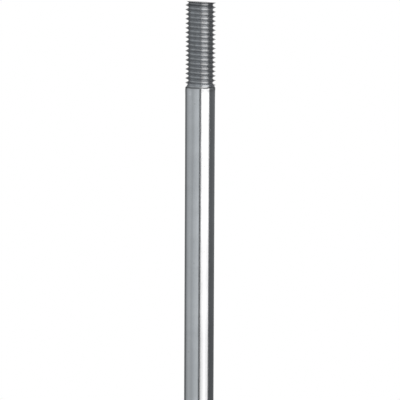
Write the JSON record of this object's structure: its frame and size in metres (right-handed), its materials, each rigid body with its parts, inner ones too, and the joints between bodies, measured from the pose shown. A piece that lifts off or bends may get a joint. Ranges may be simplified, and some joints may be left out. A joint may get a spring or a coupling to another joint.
{
  "type": "drill paint mixer",
  "caption": "Paint mixer for a drill: a plated round rod with a threaded drive end and a welded cage of hoops, arms and spiral blades.",
  "frame": {"origin": "centre of the lower hoop's bottom edge, on the surface that the mixer stands on", "axes": "+Z along the rod, towards its threaded drive end; +X along the first arm"},
  "size_m": [0.08, 0.08, 0.4],
  "materials": {
    "plated_rod": "bright zinc plating on drawn steel rod, polished along its length",
    "plated_strip": "bright zinc plating on rolled steel strip, satin",
    "weld_metal": "plated weld bead, dull and rippled"
  },
  "bodies": {
    "root": {"shaft": "plated_rod", "lower_hoop": "plated_strip", "upper_hoop": "plated_strip", "lower_arm_1": "plated_rod", "lower_arm_2": "plated_rod", "lower_arm_3": "plated_rod", "upper_arm_1": "plated_rod", "upper_arm_2": "plated_rod", "upper_arm_3": "plated_rod", "spiral_blade_1": "plated_strip", "spiral_blade_2": "plated_strip", "spiral_blade_3": "plated_strip", "weld_lower_arm_to_shaft_1": "weld_metal", "weld_lower_arm_to_shaft_2": "weld_metal", "weld_lower_arm_to_shaft_3": "weld_metal", "weld_lower_arm_to_hoop_1": "weld_metal", "weld_lower_arm_to_hoop_2": "weld_metal", "weld_lower_arm_to_hoop_3": "weld_metal", "weld_upper_arm_to_shaft_1": "weld_metal", "weld_upper_arm_to_shaft_2": "weld_metal", "weld_upper_arm_to_shaft_3": "weld_metal", "weld_upper_arm_to_hoop_1": "weld_metal", "weld_upper_arm_to_hoop_2": "weld_metal", "weld_upper_arm_to_hoop_3": "weld_metal", "weld_lower_blade_to_hoop_1": "weld_metal", "weld_lower_blade_to_hoop_2": "weld_metal", "weld_lower_blade_to_hoop_3": "weld_metal", "weld_upper_blade_to_hoop_1": "weld_metal", "weld_upper_blade_to_hoop_2": "weld_metal", "weld_upper_blade_to_hoop_3": "weld_metal"}
  },
  "joints": []
}
